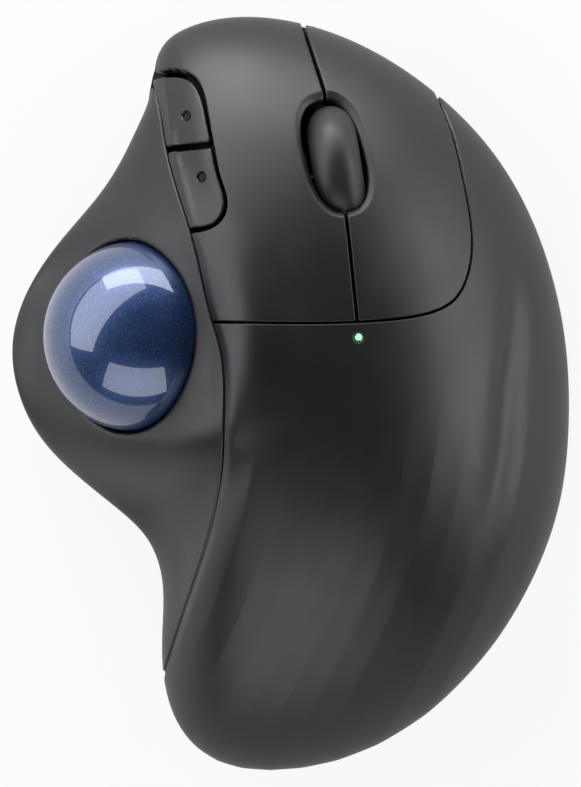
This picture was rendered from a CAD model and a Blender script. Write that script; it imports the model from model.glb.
# %% [markdown]
# # A thumb trackball mouse
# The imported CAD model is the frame: it fixes where everything is and how it moves.
# This notebook dresses it. Outer panels, wheel and ball are rebuilt as fine meshes
# over the same form, and everything gets a procedural material. Lengths in the
# recipes are millimetres and become metres when a mesh is made.

# %% Load the frame
import bpy
import numpy as np
from math import cos, pi, radians, sin, sqrt
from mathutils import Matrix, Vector
from mathutils.geometry import delaunay_2d_cdt
from mathutils.kdtree import KDTree


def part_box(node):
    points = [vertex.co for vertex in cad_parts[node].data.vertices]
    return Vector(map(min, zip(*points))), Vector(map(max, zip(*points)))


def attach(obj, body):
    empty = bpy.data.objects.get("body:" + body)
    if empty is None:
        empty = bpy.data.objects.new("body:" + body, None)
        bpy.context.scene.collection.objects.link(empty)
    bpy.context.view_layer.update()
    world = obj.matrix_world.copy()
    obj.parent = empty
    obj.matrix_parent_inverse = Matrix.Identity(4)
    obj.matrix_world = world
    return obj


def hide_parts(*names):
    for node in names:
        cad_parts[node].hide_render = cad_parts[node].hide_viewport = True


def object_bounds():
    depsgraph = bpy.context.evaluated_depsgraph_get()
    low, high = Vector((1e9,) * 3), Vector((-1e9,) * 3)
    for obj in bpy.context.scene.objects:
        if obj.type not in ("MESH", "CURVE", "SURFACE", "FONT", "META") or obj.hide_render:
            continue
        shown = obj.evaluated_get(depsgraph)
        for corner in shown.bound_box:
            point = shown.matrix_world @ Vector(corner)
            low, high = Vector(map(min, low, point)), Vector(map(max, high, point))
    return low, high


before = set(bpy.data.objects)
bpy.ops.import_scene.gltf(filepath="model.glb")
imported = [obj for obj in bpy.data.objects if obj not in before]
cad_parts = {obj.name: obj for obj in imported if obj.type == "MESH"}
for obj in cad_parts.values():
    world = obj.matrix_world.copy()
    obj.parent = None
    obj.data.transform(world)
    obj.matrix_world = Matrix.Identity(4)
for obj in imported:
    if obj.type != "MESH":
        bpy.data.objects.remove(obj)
start_low, start_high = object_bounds()

# %% Sizes shared with the CAD
HEIGHT = 48.0
SX, SY = 1.0, 134.0 / 134.2
SUMMIT = np.array((4.0, 2.0 * SY))
BALL = np.array((-26.8, 10.1 * SY, 24.5))
BALL_R = 17.0
WHEEL = np.array((8.5, 38.5 * SY, 30.0))
WHEEL_R, WHEEL_W, WHEEL_CROWN, WHEEL_TURN = 12.5, 8.8, 5.3, 9.0
SLOT = np.array((8.0, 42.4 * SY))
SLOT_GAP = 0.8              # room beside the tyre
SLOT_HALF = np.array((WHEEL_W / 2 + SLOT_GAP, 10.3 * SY))
SLOT_TURN, SLOT_POWER = 15.0, 2.5
FOOT = 0.8
WALL = 1.7
SKIRT = {"fixed": 6.3, "key": 7.4}      # lowest height of a panel and of a moving key

# %% [markdown]
# ## The outer form
# The body is described in polar form about the top of the palm: a closed plan
# outline, the height of the widest line in each direction, and how round the flank
# is. A 45 degree facet is blended in round the ball.

# %% Outer form
OUTLINE = [
    (4, 65.3), (-7.4, 67), (-18.7, 64.8), (-23.6, 59.6), (-24.6, 54.2), (-26.4, 48.8), (-31.5, 38.8),
    (-40.4, 27.6), (-46.5, 18.5), (-49.3, 9), (-48.2, 0), (-44.7, -7.3), (-38.1, -14.4),
    (-29.6, -21.4), (-23.4, -30), (-22.5, -38), (-22.7, -47), (-20.7, -57), (-13.5, -65),
    (-3.5, -67), (8.9, -65.1), (21.5, -59), (33.5, -48), (42, -35.3), (47.3, -22),
    (49.5, -6), (49, 8.5), (45.3, 25), (36, 43), (23, 55.7),
]
# direction, widest height, roundness, two flank powers, plan radius of the inner contours
COMPASS = np.array([
    (0, 12, 0.55, 2.0, 1.0, 46), (45, 11, 0.5, 2.0, 1.0, 51), (90, 12, 0.75, 2.0, 1.0, 63),
    (122, 15, 0.45, 2.2, 1.0, 62), (150, 12, 0.25, 2.8, 1.8, 56), (180, 7.5, 0.2, 3.0, 2.2, 52),
    (215, 9, 0.25, 2.8, 1.8, 52), (240, 12, 0.45, 2.2, 1.1, 58), (270, 12, 0.5, 2.0, 1.0, 68),
    (312, 12, 0.6, 2.0, 1.0, 55),
])


def periodic(a, v):
    """Cyclic cubic spline through values at angles in degrees."""
    n = len(a)
    h = np.diff(np.append(a, a[0] + 360.0))
    system, right = np.zeros((n, n)), np.zeros(n)
    for i in range(n):
        system[i, i - 1] += h[i - 1]
        system[i, i] += 2 * (h[i - 1] + h[i])
        system[i, (i + 1) % n] += h[i]
        right[i] = 6 * ((v[(i + 1) % n] - v[i]) / h[i] - (v[i] - v[i - 1]) / h[i - 1])
    m = np.linalg.solve(system, right)

    def at(x):
        x = (np.asarray(x, float) - a[0]) % 360 + a[0]
        i = np.clip(np.searchsorted(a, x, side="right") - 1, 0, n - 1)
        j = (i + 1) % n
        t = x - a[i]
        s = h[i] - t
        bend = (m[i] * s**3 + m[j] * t**3) / (6 * h[i])
        return bend + (v[i] / h[i] - m[i] * h[i] / 6) * s + (v[j] / h[i] - m[j] * h[i] / 6) * t

    return at


def blended(column):
    """Smooth step between the rows of the compass table."""
    a, v = COMPASS[:, 0], COMPASS[:, column]

    def at(x):
        x = np.asarray(x, float) % 360
        i = np.searchsorted(a, x, side="right") - 1
        j = (i + 1) % len(a)
        t = (x - a[i]) / ((a[j] - a[i]) % 360)
        t = t * t * (3 - 2 * t)
        return v[i] * (1 - t) + v[j] * t

    return at


def ease(x):
    x = np.clip(x, 0, 1)
    return x**3 * (10 - 15 * x + 6 * x * x)


points = np.array(OUTLINE) * (SX, SY) - SUMMIT
bearing = np.degrees(np.arctan2(points[:, 1], points[:, 0])) % 360
order = np.argsort(bearing)
reach = periodic(bearing[order], np.hypot(points[:, 0], points[:, 1])[order])
core = periodic(COMPASS[:, 0], COMPASS[:, 5] * SY)
edge_at, round_at, power_at, flank_at = (blended(k) for k in (1, 2, 3, 4))


def skin_height(x, y):
    """Height of the outer skin over plan points."""
    dx, dy = x - SUMMIT[0], y - SUMMIT[1]
    angle = np.degrees(np.arctan2(dy, dx)) % 360
    r = np.hypot(dx, dy)
    outer = np.minimum(r / reach(angle), 1.0)
    blend = ease((outer - 0.15) / 0.85)
    t = np.clip(r / core(angle) * (1 - blend) + outer * blend, 0, 1)
    a = round_at(angle)
    f = a * np.sqrt(1 - t * t) + (1 - a) * (1 - t ** power_at(angle)) ** flank_at(angle)
    z = edge_at(angle) + (HEIGHT - edge_at(angle)) * f
    near = 1 - ease((np.hypot(x - BALL[0] + 4, y - BALL[1]) - 14) / 18)
    facet = BALL[2] + 3.4 * sqrt(2) + (x - BALL[0])
    return z + near * (facet - z) * np.sqrt(1 - t**8)


print("height over the light", round(float(skin_height(np.array(12.05), np.array(9.9))), 1), "mm")

# %% [markdown]
# ## Where the panels part
# Every seam is a smooth curve in plan with a gap. The panels are triangulated in a
# flattened map of the skin in which the flank below the widest line is unrolled
# outwards, so that one flat triangulation covers the whole outside.

# %% Seams in plan
def smooth(points, step=0.5):
    """Natural cubic spline through points, sampled about every step millimetres."""
    p = np.array(points, float) * (SX, SY)
    s = np.append(0, np.cumsum(np.hypot(*np.diff(p, axis=0).T)))
    n = len(p)
    h = np.diff(s)
    system, right = np.eye(n), np.zeros((n, 2))
    for i in range(1, n - 1):
        system[i, i - 1:i + 2] = (h[i - 1], 2 * (h[i - 1] + h[i]), h[i])
        right[i] = 6 * ((p[i + 1] - p[i]) / h[i] - (p[i] - p[i - 1]) / h[i - 1])
    m = np.linalg.solve(system, right)
    x = np.linspace(0, s[-1], max(4, int(s[-1] / step)))
    i = np.clip(np.searchsorted(s, x, side="right") - 1, 0, n - 2)
    t = (x - s[i])[:, None]
    u = (s[i + 1] - x)[:, None]
    hi = h[i][:, None]
    bend = (m[i] * u**3 + m[i + 1] * t**3) / (6 * hi)
    return bend + (p[i] / hi - m[i] * hi / 6) * u + (p[i + 1] / hi - m[i + 1] * hi / 6) * t


def shifted(line, d):
    """The line moved sideways, to its left where d is positive. d may vary along it."""
    way = np.gradient(line, axis=0)
    way /= np.hypot(way[:, 0], way[:, 1])[:, None]
    return line + np.column_stack((-way[:, 1], way[:, 0])) * np.reshape(d, (-1, 1))


crease = smooth([
    (-30, 66), (-24.5, 55.2), (-22.5, 43.8), (-18.6, 30.7), (-16.7, 23.8), (-14.2, 12.8), (-12.8, 8),
    (-12.0, -5), (-12.2, -11.7), (-13.1, -17.3), (-15.6, -27.5), (-18.5, -36.3), (-20.9, -44.1),
    (-23.5, -54), (-28, -66),
])
rear_seam = smooth([
    (-14.6, 12.6), (-6, 12.5), (11.5, 12.6), (20, 13.3), (25.2, 14.4), (29.2, 16.7), (31.5, 20.9),
    (32.3, 27.1), (31, 36.9), (28.4, 47.5), (25.6, 54.5), (22, 64),
])
centre_seam = smooth([(0.6, 74), (2.3, 65.8), (6.2, 53.2), (8.6, 42), (9.9, 32.1), (11.9, 12.6)])
pocket = smooth([
    (-25.6, 55.9), (-24.2, 56.3), (-21.9, 56.9), (-19.6, 56.9), (-17.2, 55.7), (-15.7, 53.2), (-14.6, 48.4),
    (-13.6, 43.1), (-12.5, 38.0), (-11.4, 33.9), (-11.8, 31.7), (-13.3, 30.0), (-15.7, 29.1), (-18.6, 28.8),
], 0.4)
side_split = smooth([(-22.35, 43.4), (-18, 43.7), (-14.0, 44.05), (-13.6, 44.1)])
crease_half, rear_half, centre_half, split_half = 0.16, 0.26, 0.34, 0.62     # half of each gap
FACET_Y = (-58, -46, -28, -8, 12, 30, 44, 55, 70)      # along the crease
FACET_WIDTH = (0.4, 1.2, 1.5, 1.5, 1.5, 1.2, 1.75, 2.1, 2.1)
BEVEL, BEVEL_SLOPE = 1.1, 0.6                          # round the wheel's opening
BALL_GAP = 0.5
pocket_s = np.linspace(0, 1, len(pocket))
wide_front = 0.36 * np.exp(-((pocket_s - 0.14) / 0.13) ** 2)
wide_back = 0.18 * np.exp(-((pocket_s - 0.95) / 0.12) ** 2)
pocket_half = 0.34 + wide_front + wide_back


STRIP_LEAN, STRIP_BOW = 0.027, 0.0051
STRIP_PITCH = 5.3       # the long strips on the palm, measured across


def strip_border(x):
    """Border between two strips, which would cross the middle of the mouse at x."""
    y = np.linspace(-60, -3, 90)
    return np.column_stack((x + STRIP_LEAN * y - STRIP_BOW * y * y, y))


def slot_outline(out=0.0, count=110):
    """The rounded opening over the wheel, or a ring that far outside it, in plan."""
    half = SLOT_HALF + out
    a = np.linspace(0, 2 * pi, count)
    x = half[0] * np.sign(np.cos(a)) * np.abs(np.cos(a)) ** (2 / SLOT_POWER)
    y = half[1] * np.sign(np.sin(a)) * np.abs(np.sin(a)) ** (2 / SLOT_POWER)
    c, s = cos(radians(SLOT_TURN)), sin(radians(SLOT_TURN))
    loop = np.column_stack((x * c - y * s, x * s + y * c)) + SLOT
    run = np.append(0, np.cumsum(np.hypot(*np.diff(loop, axis=0).T)))
    even = np.linspace(0, run[-1], count)
    return np.column_stack([np.interp(even, run, loop[:, k]) for k in (0, 1)])


def opening(radius, count=190):
    """Where the skin meets a sphere round the ball, in plan."""
    loop = []
    for a in np.linspace(0, 2 * pi, count):
        low, high = 2.0, radius + 4
        for _ in range(40):
            mid = (low + high) / 2
            x, y = BALL[0] + mid * cos(a), BALL[1] + mid * sin(a)
            inside = mid**2 + (skin_height(np.array(x), np.array(y)) - BALL[2]) ** 2 < radius**2
            low, high = (mid, high) if inside else (low, mid)
        loop.append((BALL[0] + mid * cos(a), BALL[1] + mid * sin(a)))
    return np.array(loop)


ball_loop = opening(BALL_R + BALL_GAP)
print("seams", len(crease), len(rear_seam), len(centre_seam), len(pocket), "points")
print("ball opening", len(ball_loop), "points")

# %% Map of the skin
SKIRT_SPAN = 0.12       # width of the unrolled flank, as a share of the reach


def to_map(line):
    """Plan line to map. Where it leaves the outline it runs straight down the flank."""
    d = line - SUMMIT
    angle = np.degrees(np.arctan2(d[:, 1], d[:, 0]))
    k = np.hypot(d[:, 0], d[:, 1]) / reach(angle)
    inside = k < 0.9995
    keep = np.flatnonzero(inside)
    rho = 2 / pi * np.arcsin(np.clip(k, 0, 1))
    out = on_map(angle[keep], rho[keep])
    if keep[0] > 0:
        out = np.vstack((on_map(angle[keep[0]], 1 + SKIRT_SPAN * 1.2), out))
    if keep[-1] < len(line) - 1:
        out = np.vstack((out, on_map(angle[keep[-1]], 1 + SKIRT_SPAN * 1.2)))
    return out


def on_map(angle, rho):
    r = reach(angle) * rho
    a = np.radians(angle)
    return np.column_stack((SUMMIT[0] + r * np.cos(a), SUMMIT[1] + r * np.sin(a)))


def off_map(points, skirt):
    """Map points to points on the skin."""
    d = points - SUMMIT
    a = np.arctan2(d[:, 1], d[:, 0])
    angle = np.degrees(a)
    rim = reach(angle)
    rho = np.hypot(d[:, 0], d[:, 1]) / rim
    t = np.sin(np.clip(rho, 0, 1) * pi / 2)
    edge = edge_at(angle)
    v = np.clip((rho - 1) / SKIRT_SPAN, 0, 1)
    low = edge - (edge - skirt) * v
    q = np.arcsin(np.clip((edge - low) / (edge - FOOT), 0, 1))
    lower_r = rim - (3 + 3 * np.clip(np.cos(a), 0, 1) ** 2) * (1 - np.cos(q))
    r = np.where(rho <= 1, rim * t, lower_r)
    x, y = SUMMIT[0] + r * np.cos(a), SUMMIT[1] + r * np.sin(a)
    z = np.where(rho <= 1, skin_height(x, y), low)
    return np.column_stack((x, y, z))


bands = [
    (crease, crease_half), (rear_seam, rear_half), (centre_seam, centre_half),
    (pocket, pocket_half), (side_split, split_half),
]
walls = [to_map(shifted(line, side * half)) for line, half in bands for side in (-1, 1)]
light_low, light_high = (np.array(corner) * 1000 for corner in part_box("light_pipe"))
LIGHT = ((light_low + light_high) / 2)[:2]
around = np.linspace(0, 2 * pi, 33)
circle = np.column_stack((np.cos(around), np.sin(around)))
LIGHT_R = 0.95
light_loop = LIGHT + LIGHT_R * circle
DOTS = {"forward_key": (-18.6, 49.2), "back_key": (-15.8, 38.3)}
DOT_R = 0.96
dot_loops = [np.array(dot) + DOT_R * circle for dot in DOTS.values()]
walls += [to_map(loop) for loop in (slot_outline(), ball_loop, light_loop, *dot_loops)]
ring_angles = np.linspace(0, 360, 420)
walls.append(on_map(ring_angles, 1 + SKIRT_SPAN))
near_rows = (0.06, 0.14, 0.3, 0.6, 1.0, 1.4, 1.9, 2.5)
facet_width = np.interp(crease[:, 1], FACET_Y, FACET_WIDTH)
ridge = [to_map(shifted(crease, -(crease_half + facet_width + d))) for d in (-0.05, 0.05, 0.35, 0.7, 1.1)]
rows = [
    to_map(shifted(line, side * (half + d))) for line, half in bands for side in (-1, 1) for d in near_rows
]
for d in near_rows:
    rows.append(to_map(shifted(slot_outline(), -d)))
    rows.append(to_map(opening(BALL_R + BALL_GAP + d * 0.7, 150)))
    if d <= 1:
        rows.append(to_map(LIGHT + (LIGHT_R + d) * circle))
        rows += [to_map(np.array(dot) + (DOT_R + d) * circle) for dot in DOTS.values()]
borders = []
for x in STRIP_PITCH * np.arange(-1, 11):
    line = strip_border(x)
    out = line - SUMMIT
    line = line[np.hypot(out[:, 0], out[:, 1]) < 0.97 * reach(np.degrees(np.arctan2(out[:, 1], out[:, 0])))]
    if len(line) > 2:
        borders += [to_map(shifted(line, d)) for d in (-0.07, 0.07)]
bevel_rows = [to_map(shifted(slot_outline(), -(BEVEL + d))) for d in (-0.05, 0.05)]
rows = ridge + borders + bevel_rows + rows
rows += [on_map(ring_angles, rho) for rho in (0.9, 0.925, 0.95, 0.97, 0.985, 1.0, 1.035, 1.07, 1.1)]
print("map", len(walls), "walls,", len(rows), "rows")

# %% Triangulate the map
flat, edges = [], []
for wall in walls:
    first = len(flat)
    flat.extend(wall)
    edges += [(first + i, first + i + 1) for i in range(len(wall) - 1)]


def index(points):
    t = KDTree(len(points))
    for i, p in enumerate(points):
        t.insert((p[0], p[1], 0), i)
    t.balance()
    return t


CLEAR = 0.07            # row points keep this far apart
taken = {}


def fits(p):
    """Whether a map point is clear of all points so far. If so, it is counted as one of them."""
    i, j = int(p[0] // CLEAR), int(p[1] // CLEAR)
    near = [q for a in (i - 1, i, i + 1) for b in (j - 1, j, j + 1) for q in taken.get((a, b), [])]
    if any((p[0] - q[0]) ** 2 + (p[1] - q[1]) ** 2 < CLEAR**2 for q in near):
        return False
    taken.setdefault((i, j), []).append(p)
    return True


for p in flat:
    fits(p)
for row in rows:
    flat += [p for p in row if fits(p)]
tree = index(flat)
pitch = 1.15
row_step = pitch * 0.866        # height of an even-sided triangle
grid = [
    (x + (pitch / 2 if k % 2 else 0), y)
    for k, y in enumerate(np.arange(-76, 76, row_step)) for x in np.arange(-58, 60, pitch)
]
grid = np.array(grid)
d = grid - SUMMIT
grid = grid[np.hypot(d[:, 0], d[:, 1]) < reach(np.degrees(np.arctan2(d[:, 1], d[:, 0]))) * 0.985]
flat += [p for p in grid if tree.find((p[0], p[1], 0))[2] > 0.55]
verts, made_edges, tris, _, edge_source, _ = delaunay_2d_cdt([Vector(p) for p in flat], edges, [], 0, 1e-4)
flat = np.array([tuple(v) for v in verts])
print("triangulated", len(verts), "points,", len(tris), "triangles")

# %% [markdown]
# Triangles are flooded out from one seed point in each panel. A wall stops the flood,
# so each panel comes out whole and the gaps stay empty.

# %% Flood the panels
stops = {tuple(sorted(e)) for e, source in zip(made_edges, edge_source) if source}
sides = {}
for k, tri in enumerate(tris):
    for i in range(3):
        sides.setdefault(tuple(sorted((tri[i], tri[i - 1]))), []).append(k)
middle = np.array([flat[list(t)].mean(axis=0) for t in tris])
SEEDS = {
    "palm_shell": (18, -14), "thumb_panel": (-32, -11), "left_key": (0, 30),
    "right_key": (22, 35), "forward_key": (-18.5, 46), "back_key": (-15.5, 35),
}
panels = {}
for name, seed in SEEDS.items():
    spot = to_map(np.array([seed, seed], float))[0]
    todo = [int(np.argmin(np.hypot(*(middle - spot).T)))]
    seen = set(todo)
    while todo:
        k = todo.pop()
        for i in range(3):
            side = tuple(sorted((tris[k][i], tris[k][i - 1])))
            if side in stops:
                continue
            for other in sides[side]:
                if other not in seen:
                    seen.add(other)
                    todo.append(other)
    panels[name] = sorted(seen)
print({name: len(found) for name, found in panels.items()})

# %% [markdown]
# ## From triangles to moulded panels
# A panel gets an outer and an inner skin and walls between them. Its edges are
# rounded, the slot for the wheel gets a bevel, and the panels along the crease get
# a flat facet. All of these are depths below the skin, found from the distance to
# each seam.

# %% Skin with normals
faces = np.array([tuple(t) for t in tris])
skins = {}
for kind, low in SKIRT.items():
    place = off_map(flat, low)
    across = np.cross(place[faces[:, 1]] - place[faces[:, 0]], place[faces[:, 2]] - place[faces[:, 0]])
    normal = np.zeros_like(place)
    for k in range(3):
        np.add.at(normal, faces[:, k], across)
    skins[kind] = (place, normal / np.linalg.norm(normal, axis=1)[:, None])


def dense(wall, step=0.12):
    """The wall as closely spaced points on the skin."""
    s = np.append(0, np.cumsum(np.hypot(*np.diff(wall, axis=0).T)))
    x = np.linspace(0, s[-1], int(s[-1] / step))
    return off_map(np.column_stack([np.interp(x, s, wall[:, k]) for k in (0, 1)]), SKIRT["fixed"])


def tree_of(points):
    found = KDTree(len(points))
    for i, p in enumerate(points):
        found.insert(p, i)
    found.balance()
    return found


def distances(points, tree):
    """Distance to the nearest point in the tree, and which one it is."""
    found = [tree.find(p) for p in points]
    return np.array([f[2] for f in found]), np.array([f[1] for f in found])


WALL_NAMES = (
    "crease", "crease", "rear", "rear", "centre", "centre", "pocket", "pocket", "split", "split",
    "slot", "ball", "light", "dot", "dot",
)
edge_points = {
    name: np.vstack([dense(w) for w, n in zip(walls, WALL_NAMES) if n == name]) for name in set(WALL_NAMES)
}
edge_trees = {name: tree_of(p) for name, p in edge_points.items()}


def in_plan(points):
    return np.column_stack((points[:, :2], np.zeros(len(points))))


crease_plan = tree_of(in_plan(edge_points["crease"]))
slot_plan = tree_of(in_plan(edge_points["slot"]))
print("edge samples", sum(len(p) for p in edge_points.values()))


# %% Depth of edges and facets
def round_over(d, r):
    """Depth of a rounded edge of radius r at distance d from it."""
    x = np.clip(r - d, 0, r)
    return r - np.sqrt(r * r - x * x)


def bevel(d, width, depth):
    return depth * np.clip(1 - d / np.maximum(width, 1e-6), 0, 1)


FACET_DEPTH = 0.36          # fall of the facet, as a share of its width
FACET_FADE = 14.0           # height over the widest line in which it reaches that
THUMB_FADE = 8.0            # width in which the thumb panel rises to its full height
KEY_DISH = 0.42             # depth of the dish in the side keys
RADII = {
    "palm_shell": {"crease": 0.1, "rear": 0.12, "ball": 0.3, "light": 0.2},
    "thumb_panel": {"crease": 0.1, "pocket": 0.1, "ball": 0.5},
    "left_key": {"crease": 0.1, "rear": 0.12, "centre": 0.15, "pocket": 0.2, "slot": 0.12},
    "right_key": {"rear": 0.12, "centre": 0.15, "slot": 0.12},
    "forward_key": {"crease": 0.1, "pocket": 0.3, "split": 0.25},
    "back_key": {"crease": 0.1, "pocket": 0.3, "split": 0.25},
}


def facet_at(points):
    """Facet's width and depth next to each point, and how far past its ridge the point is in plan."""
    d, which = distances(in_plan(points), crease_plan)
    width = np.interp(edge_points["crease"][which, 1], FACET_Y, FACET_WIDTH)
    edge = edge_at(np.degrees(np.arctan2(points[:, 1] - SUMMIT[1], points[:, 0] - SUMMIT[0])))
    return width, FACET_DEPTH * width * ease((points[:, 2] - edge) / FACET_FADE), d - width


def depth_of(name, points):
    depth = np.zeros(len(points))
    for wall, radius in RADII[name].items():
        d, which = distances(points, edge_trees[wall])
        if wall == "crease" and name != "thumb_panel":
            width, fall, from_ridge = facet_at(points)
            depth = np.maximum(depth, bevel(from_ridge + width, width, fall))
        if wall == "slot":
            from_slot = distances(in_plan(points), slot_plan)[0]
            depth = np.maximum(depth, bevel(from_slot, BEVEL, BEVEL_SLOPE * BEVEL))
        depth = np.maximum(depth, round_over(d, radius)) + np.where(d < radius, 0.2 * depth, 0)
    if name == "thumb_panel":
        width, fall, from_ridge = facet_at(points)
        depth += fall * (1 - ease((from_ridge + width) / THUMB_FADE))
    if name in ("forward_key", "back_key"):
        _, _, from_ridge = facet_at(points)
        depth += KEY_DISH * ease((from_ridge + 0.15) / 1.0) * (1 - ease((from_ridge - 0.85) / 5.5))
    return depth


# %% [markdown]
# The palm has a shallow finger groove on its right, and under the hand it is laid out in
# long strips, each a little flatter than the form, so that their borders just show.

# %% Groove and strips
GROOVE = smooth([
    (37, 30), (39.6, 19), (39.6, 8), (38.6, -0.6), (37.9, -9.5), (36.1, -18.4), (34.2, -26), (30.5, -36),
])
GROOVE_DEPTH, GROOVE_WIDTH = 1.1, 2.1
STRIP_DEPTH = 0.085


def relief(points):
    """Depth of the groove and the strips on the palm."""
    d, which = distances(in_plan(points), tree_of(in_plan(GROOVE)))
    along = which / len(GROOVE)
    deep = GROOVE_DEPTH * ease(along / 0.35) * ease((1 - along) / 0.4) * np.exp(-((d / GROOVE_WIDTH) ** 2))
    x, y = points[:, 0], points[:, 1]
    strip = (x - STRIP_LEAN * y + STRIP_BOW * y * y) / STRIP_PITCH
    across = strip - np.floor(strip)
    fade = ease((-y - 3) / 14) * ease((x + 19) / 6) * ease((49 - x - 0.2 * y) / 12)
    return deep + STRIP_DEPTH * fade * 4 * across * (1 - across)


# %% Build the panels
def new_piece(name, points, polygons, body, nodes=(), smooth_all=True):
    """Mesh piece from millimetre points, riding on a body and standing for CAD nodes."""
    mesh = bpy.data.meshes.new(name)
    mesh.from_pydata((np.asarray(points) * 0.001).tolist(), [], [list(map(int, p)) for p in polygons])
    mesh.validate()
    mesh.polygons.foreach_set("use_smooth", [smooth_all] * len(mesh.polygons))
    obj = bpy.data.objects.new(name, mesh)
    bpy.context.scene.collection.objects.link(obj)
    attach(obj, body)
    if nodes:
        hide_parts(*nodes)
    return obj


def panel(name, body):
    place, normal = skins["key" if body != "housing" else "fixed"]
    mine = faces[panels[name]]
    used, local = np.unique(mine, return_inverse=True)
    local = local.reshape(mine.shape)
    p, n = place[used], normal[used]
    depth = depth_of(name, p)
    if name == "palm_shell":
        depth += relief(p)
    outer = p - n * depth[:, None]
    inner = p - n * (WALL + 0.3 * (depth > 0.05))[:, None]
    polygons = [tuple(t) for t in local] + [tuple(t[::-1] + len(used)) for t in local]
    sides = {}
    for a, b, c in local:
        for i, j in ((a, b), (b, c), (c, a)):
            sides[(i, j)] = True
    rim = [(i, j) for i, j in sides if (j, i) not in sides]
    polygons += [(j, i, i + len(used), j + len(used)) for i, j in rim]
    return new_piece("look_" + name, np.vstack((outer, inner)), polygons, body, (name,))


BODY_OF = {"palm_shell": "housing", "thumb_panel": "housing"}
look = {name: panel(name, BODY_OF.get(name, name)) for name in SEEDS}
print({name: len(obj.data.vertices) for name, obj in look.items()})

# %% Lips under the seams
def skin_frame(row, step=0.05):
    """Points of the skin at map points, and the normals there."""
    p, beside, ahead = (off_map(row + shift, SKIRT["fixed"]) for shift in ((0, 0), (step, 0), (0, step)))
    n = np.cross(beside - p, ahead - p)
    return p, n / np.linalg.norm(n, axis=1)[:, None]


def lip(name, line, reach_out, deep, body="housing"):
    """Thin strip that closes the view through a seam, that far under the skin."""
    rows = [to_map(shifted(line, d)) for d in np.linspace(-reach_out, reach_out, 5)]
    count = min(len(row) for row in rows)
    grid = np.vstack([p - n * deep for p, n in (skin_frame(row[:count]) for row in rows)])
    polygons = []
    for i in range(4):
        for k in range(count - 1):
            a = i * count + k
            polygons.append((a, a + count, a + count + 1, a + 1))
    return new_piece(name, grid, polygons, body)


lips = [
    lip("look_lip_rear", rear_seam[3:-12], 1.7, 4.2),
    lip("look_lip_pocket", pocket[10:], 1.5, 4.6),
    lip("look_lip_split", side_split, 1.4, 4.6),
    lip("look_lip_front", centre_seam[8:int(0.42 * len(centre_seam))], 1.5, 4.2),
    lip("look_lip_back", centre_seam[int(0.78 * len(centre_seam)):-2], 1.5, 4.2),
]
print("lips", len(lips))

# %% [markdown]
# ## Wheel, ball and small marks
# The tyre is a crowned ring of soft rubber, the ball a turned and polished sphere, and
# the marks on the side keys are small sunk studs. All are round about one axis. A
# primitive would need its edges shaped afterwards, so each is turned from a profile,
# which gives the crown and the small steps their exact sizes.

# %% Turned pieces
def turned(name, profile, place, axis, body, nodes=(), count=128):
    """Closed solid of revolution. profile is (distance along the axis, radius), from end to end."""
    axis = Vector(axis).normalized()
    aside = axis.orthogonal().normalized()
    up = axis.cross(aside)
    points, polygons = [], []
    for u, r in profile:
        for k in range(count):
            a = 2 * pi * k / count
            points.append(Vector(place) + axis * u + (aside * cos(a) + up * sin(a)) * r)
    for i in range(len(profile) - 1):
        for k in range(count):
            a, b = i * count + k, i * count + (k + 1) % count
            polygons.append((a, b, b + count, a + count))
    polygons.append(tuple(reversed(range(count))))
    polygons.append(tuple(range(len(points) - count, len(points))))
    return new_piece(name, [tuple(p) for p in points], polygons, body, nodes)


wheel_axis = (cos(radians(WHEEL_TURN)), sin(radians(WHEEL_TURN)), 0)
half = WHEEL_W / 2
hub_r = WHEEL_R - WHEEL_CROWN - 0.7
swell = [(-half * cos(a), WHEEL_R - WHEEL_CROWN * (1 - sin(a) ** 0.9)) for a in np.linspace(0, pi, 41)]
tyre_profile = [(-half, hub_r + 0.06), *swell, (half, hub_r + 0.06)]
tyre = turned("look_wheel_tyre", tyre_profile, WHEEL, wheel_axis, "wheel", ("wheel_tyre",), 180)
rim = half - 0.3
hub_profile = [
    (-rim, 1.3), (-rim, 2.6), (0.9 - rim, 2.6), (0.9 - rim, hub_r - 1.2), (-rim, hub_r - 1.2), (-rim, hub_r),
]
hub_profile += [(-u, r) for u, r in reversed(hub_profile)]
hub = turned("look_wheel_hub", hub_profile, WHEEL, wheel_axis, "wheel", ("wheel_hub",), 96)
ball_profile = [(-BALL_R * cos(a), BALL_R * sin(a)) for a in np.linspace(0.01, pi - 0.01, 120)]
ball = turned("look_trackball", ball_profile, BALL, (0, 1, 0), "trackball", ("trackball",), 200)
print("tyre", len(tyre.data.vertices), "ball", len(ball.data.vertices))


# %% Marks on the side keys
def mark_at(x, y):
    """Skin point over x, y and the normal there."""
    p, n = skin_frame(to_map(np.array([(x, y), (x, y)])))
    return p[:1], n[:1]


dots = []
for name, dot in DOTS.items():
    p, n = mark_at(*dot)
    top, up = (p - n * depth_of(name, p)[:, None])[0], n[0]
    stud = [
        (-1.4, 0.98), (-0.5, 0.96), (-0.5, 0.78), (-0.22, 0.72), (-0.2, 0.62), (-0.34, 0.5), (-0.34, 0.38),
        (-0.26, 0.3), (-0.26, 0.05),
    ]
    dots.append(turned("look_dot_" + name, stud, top, up, name, (), 48))
print("dots", [d.name for d in dots])

# %% Status light
light_top, light_up = (found[0] for found in mark_at(*LIGHT))
lens_profile = [(-1.6, 0.52), (-0.25, 0.52), (-0.16, 0.42), (-0.12, 0.25), (-0.1, 0.03)]
lens = turned("look_light_lens", lens_profile, light_top, light_up, "housing", (), 40)
well_profile = [(-1.7, 0.55), (-1.7, 0.93), (-0.3, 0.93), (-0.3, 0.55), (-1.7, 0.55)]
well = turned("look_light_well", well_profile, light_top, light_up, "housing", (), 40)

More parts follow.
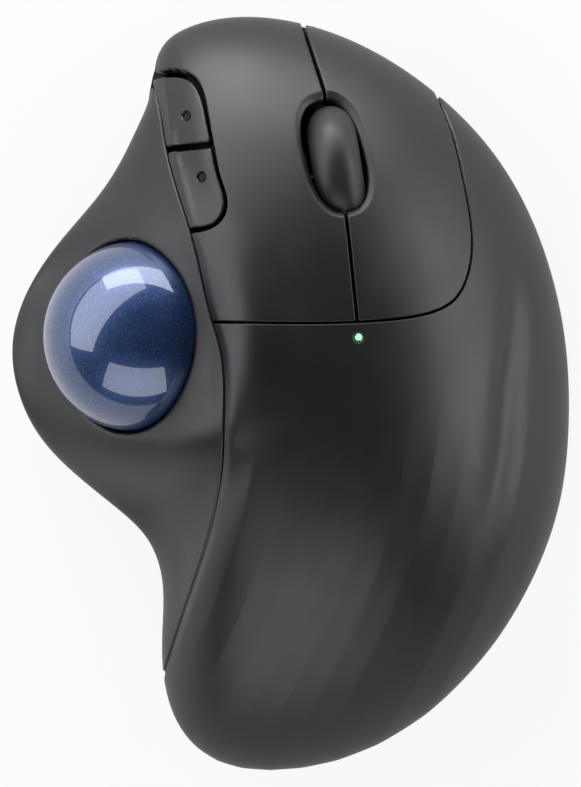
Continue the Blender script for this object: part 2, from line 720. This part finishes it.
# %% [markdown]
# ## Materials
# Every surface is procedural. Colours are written as sRGB and converted once, grain
# sizes are real millimetres, and every finish has its own grain and polish.

# %% Shader helpers
def linear(colour):
    """Linear RGBA of an sRGB hex colour."""
    parts = [int(colour[i:i + 2], 16) / 255 for i in (1, 3, 5)]
    return [c / 12.92 if c <= 0.04045 else ((c + 0.055) / 1.055) ** 2.4 for c in parts] + [1.0]


def add(material, kind, inputs=None, **settings):
    """Adds one shader node. An input given a socket is linked, any other is set."""
    made = material.node_tree.nodes.new(kind)
    for name, value in settings.items():
        setattr(made, name, value)
    for name, value in (inputs or {}).items():
        if isinstance(value, bpy.types.NodeSocket):
            material.node_tree.links.new(value, made.inputs[name])
        else:
            made.inputs[name].default_value = value
    return made


def per_mm(size):
    """Noise scale, in cells per metre, for features of this size in millimetres."""
    return 1000.0 / size


def finish(name, colour, roughness, grain=0.3, depth=0.01, patch=6.0, tone=0.08, polish=0.05, **shader):
    """Material with a fine grain, slow changes of tone and a roughness that varies by polish."""
    material = bpy.data.materials.new(name)
    material.use_nodes = True
    material.node_tree.nodes.clear()
    place = add(material, "ShaderNodeTexCoord").outputs["Object"]
    patches = {"Vector": place, "Scale": per_mm(patch), "Detail": 3.0}
    slow = add(material, "ShaderNodeTexNoise", patches).outputs["Fac"]
    grains = {"Vector": place, "Scale": per_mm(grain), "Detail": 2.0}
    fine = add(material, "ShaderNodeTexNoise", grains).outputs["Fac"]
    low, high = ([min(1.0, c * k) for c in linear(colour)[:3]] + [1.0] for k in (1 - tone, 1 + tone))
    base = add(material, "ShaderNodeMix", data_type="RGBA")
    for socket, value in ((6, low), (7, high)):
        base.inputs[socket].default_value = value
    material.node_tree.links.new(slow, base.inputs[0])
    rough = add(material, "ShaderNodeMapRange", {
        "Value": slow, "From Min": 0.3, "From Max": 0.7,
        "To Min": max(0.0, roughness - polish), "To Max": roughness + polish,
    }).outputs["Result"]
    relief_of_grain = {"Height": fine, "Strength": 1.0, "Distance": depth / 1000}
    bump = add(material, "ShaderNodeBump", relief_of_grain).outputs["Normal"]
    inputs = {"Base Color": base.outputs[2], "Roughness": rough, "Normal": bump, "IOR": 1.46}
    inputs.update(shader)
    surface = add(material, "ShaderNodeBsdfPrincipled", inputs)
    output = add(material, "ShaderNodeOutputMaterial")
    material.node_tree.links.new(surface.outputs["BSDF"], output.inputs["Surface"])
    return material


def paint(obj, material):
    obj.data.materials.clear()
    obj.data.materials.append(material)


# %% Plastics and rubber
# Soft touch paint over ABS: near black and silky, with broad soft highlights.
graphite = finish(
    "soft touch coated ABS", "#131417", 0.4, grain=0.16, depth=0.012, patch=9.0, tone=0.05, polish=0.03,
)
# ABS from a textured mould: a little greyer and duller than the paint.
base_abs = finish("textured ABS", "#222326", 0.52, grain=0.28, depth=0.02, patch=7.0)
# Moulded rubbery TPE: dull enough that the tyre shows one wide sheen.
tyre_rubber = finish("moulded TPE", "#161719", 0.45, grain=0.2, depth=0.012, patch=4.0)
# PTFE: dark and waxy, with a low even sheen.
foot_ptfe = finish("PTFE", "#17181a", 0.32, grain=0.5, depth=0.006, patch=5.0)
# Plain moulded black ABS: an even half gloss.
inner_abs = finish("black ABS", "#1a1b1d", 0.4, grain=0.25, depth=0.012)
# Matt black ABS: so dull that seams and sunk marks look like shadow.
matt_black = finish("matt black ABS", "#060607", 0.85, grain=0.25, depth=0.02)
# PBT: black with a fine grained half gloss.
switch_black = finish("black PBT", "#0e0e10", 0.5, grain=0.2, depth=0.01)
# POM: milky white with a soft gloss.
switch_white = finish("white POM", "#dcdcd6", 0.34, grain=0.3, depth=0.006)
# Epoxy moulding compound: dark, dry and finely gritty.
chip = finish("epoxy moulding compound", "#161618", 0.55, grain=0.12, depth=0.008)
# Black ABS: slightly glossy and smooth.
receiver = finish("receiver ABS", "#1b1c1e", 0.45, grain=0.2, depth=0.012)
# Green moulded ABS: a clear colour with some gloss.
slider = finish("green ABS", "#4fae5c", 0.38, grain=0.2, depth=0.01)
# Shrunk PVC film: smooth, grey and glossy.
sleeve = finish("printed PVC sleeve", "#5c626b", 0.25, grain=0.6, depth=0.004)
# Solder mask over copper: glossy green, mottled from one patch to the next.
board = finish("solder mask on FR4", "#1f5a3a", 0.3, grain=0.5, depth=0.01, patch=2.5, tone=0.2)
# Moulded polycarbonate: clear, with a sharp gloss.
clear = finish(
    "polycarbonate", "#f2f4f6", 0.05, grain=0.8, depth=0.001, **{"Transmission Weight": 0.95, "IOR": 1.585},
)
print("plastics made")

# %% Metals and ceramic
# Zinc plated steel: pale grey metal with soft reflections.
steel = finish("zinc plated steel", "#c3c6ca", 0.3, grain=0.3, depth=0.004, patch=3.0, **{"Metallic": 1.0})
# Nickel plating: warmer and sharper than the zinc.
nickel = finish(
    "nickel plated spring steel", "#cfc9bd", 0.2, grain=0.4, depth=0.003, patch=3.0, **{"Metallic": 1.0},
)
# Polished zirconia: off white with sharp highlights.
ceramic = finish("zirconia", "#f0ede6", 0.12, grain=0.5, depth=0.001)


# %% Ball and light
def ball_finish():
    """Deep blue phenolic resin with fine pearl flakes under a clear gloss."""
    material = finish(
        "phenolic blue with pearl flake", "#223a66", 0.38, grain=0.5, depth=0.001, patch=5.0, tone=0.12,
        **{"Metallic": 0.6},
    )
    nodes, links = material.node_tree.nodes, material.node_tree.links
    surface = next(n for n in nodes if n.type == "BSDF_PRINCIPLED")
    base = surface.inputs["Base Color"].links[0].from_socket
    place = add(material, "ShaderNodeTexCoord").outputs["Object"]
    flake_size = 0.42
    flakes = add(material, "ShaderNodeTexVoronoi", {
        "Vector": place, "Scale": per_mm(flake_size), "Randomness": 1.0,
    })
    share = add(material, "ShaderNodeMapRange", {
        "Value": flakes.outputs["Distance"], "From Min": 0.34, "From Max": 0.05,
        "To Min": 0.0, "To Max": 0.55,
    }).outputs["Result"]
    mixed = add(material, "ShaderNodeMix", data_type="RGBA")
    links.new(share, mixed.inputs[0])
    links.new(base, mixed.inputs[6])
    mixed.inputs[7].default_value = linear("#6686bd")
    links.new(mixed.outputs[2], surface.inputs["Base Color"])
    surface.inputs["Coat Weight"].default_value = 1.0
    surface.inputs["Coat Roughness"].default_value = 0.03
    surface.inputs["Coat IOR"].default_value = 1.65
    return material


ball_blue = ball_finish()
# A frosted rod lit from below: pale green, brighter than its surroundings.
lit_green = finish("lit green polycarbonate", "#8fb89a", 0.3, grain=0.4, depth=0.002, **{
    "Emission Color": linear("#b4f5c8"), "Emission Strength": 0.66})
# Dark plastic that catches the green of the rod beside it.
halo_green = finish("black polycarbonate round the light", "#14281c", 0.35, grain=0.3, depth=0.004, **{
    "Emission Color": linear("#1f7a3c"), "Emission Strength": 0.35})

# %% Dress the pieces
BY_SLOT = {
    "graphite_plastic": graphite, "base_plastic": base_abs, "foot_plastic": foot_ptfe,
    "steel": steel, "nickel_steel": nickel, "bearing_ceramic": ceramic,
    "circuit_board": board, "chip_black": chip, "switch_black": switch_black,
    "switch_white": switch_white, "inner_plastic": inner_abs, "tyre_rubber": tyre_rubber,
    "ball_blue": ball_blue, "clear_plastic": clear, "cell_sleeve": sleeve,
    "receiver_black": receiver, "slider_green": slider, "light_green": lit_green,
}
for node_name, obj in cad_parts.items():
    for k, old in enumerate(obj.data.materials):
        found = BY_SLOT.get(old.name.split(".")[0]) if old else None
        if found:
            obj.data.materials[k] = found
        else:
            print("no finish for", node_name, old.name if old else None)
for obj in look.values():
    paint(obj, graphite)
paint(tyre, tyre_rubber)
paint(hub, inner_abs)
paint(ball, ball_blue)
for obj in dots:
    paint(obj, matt_black)
for obj in lips:
    paint(obj, matt_black)
paint(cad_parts["wheel_axle"], inner_abs)
paint(lens, lit_green)
paint(well, halo_green)
own_pieces = [*look.values(), *lips, *dots, tyre, hub, ball, lens, well]
print("dressed", len(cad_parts), "CAD nodes and", len(own_pieces), "pieces")

# %% [markdown]
# ## Floor, light and camera
# A dark, silky object is lit by what it mirrors. Soft boxes stand low at the front left,
# the front and the right, with a weaker one higher up at the rear, and it is dark
# overhead. The floor is white in view but mirrors as a soft grey.

# %% Stage
centre = (Vector(start_low) + Vector(start_high)) / 2
size = max(Vector(start_high) - Vector(start_low))
bpy.ops.mesh.primitive_plane_add(size=30 * size, location=(0, 0, start_low[2]))
floor = bpy.context.object
floor.name = "floor"
paper = bpy.data.materials.new("white paper sweep")
paper.use_nodes = True
paper.node_tree.nodes.clear()
path = add(paper, "ShaderNodeLightPath")
MIRRORED = 0.35             # how much of its white the floor shows in reflections
mirrored = add(paper, "ShaderNodeMath", {0: path.outputs["Is Glossy Ray"], 1: MIRRORED}, operation="MULTIPLY")
in_view, through = path.outputs["Is Camera Ray"], path.outputs["Is Transmission Ray"]
seen = add(paper, "ShaderNodeMath", {0: in_view, 1: mirrored.outputs[0]}, operation="MAXIMUM")
seen = add(paper, "ShaderNodeMath", {0: seen.outputs[0], 1: through}, operation="MAXIMUM")
diffuse = add(paper, "ShaderNodeBsdfDiffuse", {"Color": linear("#e6e6e6")})
glow = add(paper, "ShaderNodeEmission", {"Color": linear("#ffffff"), "Strength": 1.0})
GLOW_SHARE = 0.88           # the rest of the floor's white takes the shadow
share = add(paper, "ShaderNodeMath", {0: seen.outputs[0], 1: GLOW_SHARE}, operation="MULTIPLY")
mixed = add(paper, "ShaderNodeMixShader", {0: share.outputs[0], 1: diffuse.outputs[0], 2: glow.outputs[0]})
output = add(paper, "ShaderNodeOutputMaterial", {"Surface": mixed.outputs[0]})
floor.data.materials.append(paper)


# %% Soft boxes
def soft_box(name, direction, elevation, distance, width, height, watts):
    """Area lamp facing the object, at a compass direction in degrees from the right."""
    lamp = bpy.data.lights.new(name, "AREA")
    lamp.shape, lamp.size, lamp.size_y, lamp.energy = "RECTANGLE", width, height, watts
    obj = bpy.data.objects.new(name, lamp)
    a, e = radians(direction), radians(elevation)
    obj.location = centre + Vector((cos(a) * cos(e), sin(a) * cos(e), sin(e))) * distance
    obj.rotation_euler = (centre - obj.location).to_track_quat("-Z", "Y").to_euler()
    bpy.context.scene.collection.objects.link(obj)
    return obj


soft_box("front left soft box", 140, 24, 0.6, 1.4, 0.5, 7.4)
soft_box("front soft box", 88, 9, 0.7, 1.0, 0.36, 6.0)
soft_box("right soft box", 10, 15, 0.75, 0.9, 0.35, 4.2)
soft_box("rear soft box", 264, 33, 0.7, 0.9, 0.5, 3.6)

# %% World and camera
world = bpy.data.worlds.new("studio")
bpy.context.scene.world = world
world.use_nodes = True
world.node_tree.nodes.clear()
path = add(world, "ShaderNodeLightPath")
dim = add(world, "ShaderNodeBackground", {"Color": linear("#8c8c8c"), "Strength": 0.15})
white = add(world, "ShaderNodeBackground", {"Color": linear("#ffffff"), "Strength": 1.0})
in_view, through = path.outputs["Is Camera Ray"], path.outputs["Is Transmission Ray"]
either = add(world, "ShaderNodeMath", {0: in_view, 1: through}, operation="MAXIMUM")
mixed = add(world, "ShaderNodeMixShader", {0: either.outputs[0], 1: dim.outputs[0], 2: white.outputs[0]})
output = add(world, "ShaderNodeOutputWorld", {"Surface": mixed.outputs[0]})
VIEW_HEIGHT = 0.1395        # metres of object across the height of the picture
DISTANCE = 4.0
SENSOR = 24.0
WIDEST = 0.02               # about the height at which the outline is seen
camera_data = bpy.data.cameras.new("camera")
camera_data.sensor_fit, camera_data.sensor_height = "VERTICAL", SENSOR
camera_data.lens = SENSOR * (DISTANCE - WIDEST) / VIEW_HEIGHT
camera_data.clip_end = 20.0
camera = bpy.data.objects.new("camera", camera_data)
camera.location = (0.0001, 0.0, DISTANCE)
bpy.context.scene.collection.objects.link(camera)
bpy.context.scene.camera = camera
bpy.context.scene.view_settings.view_transform = "Standard"
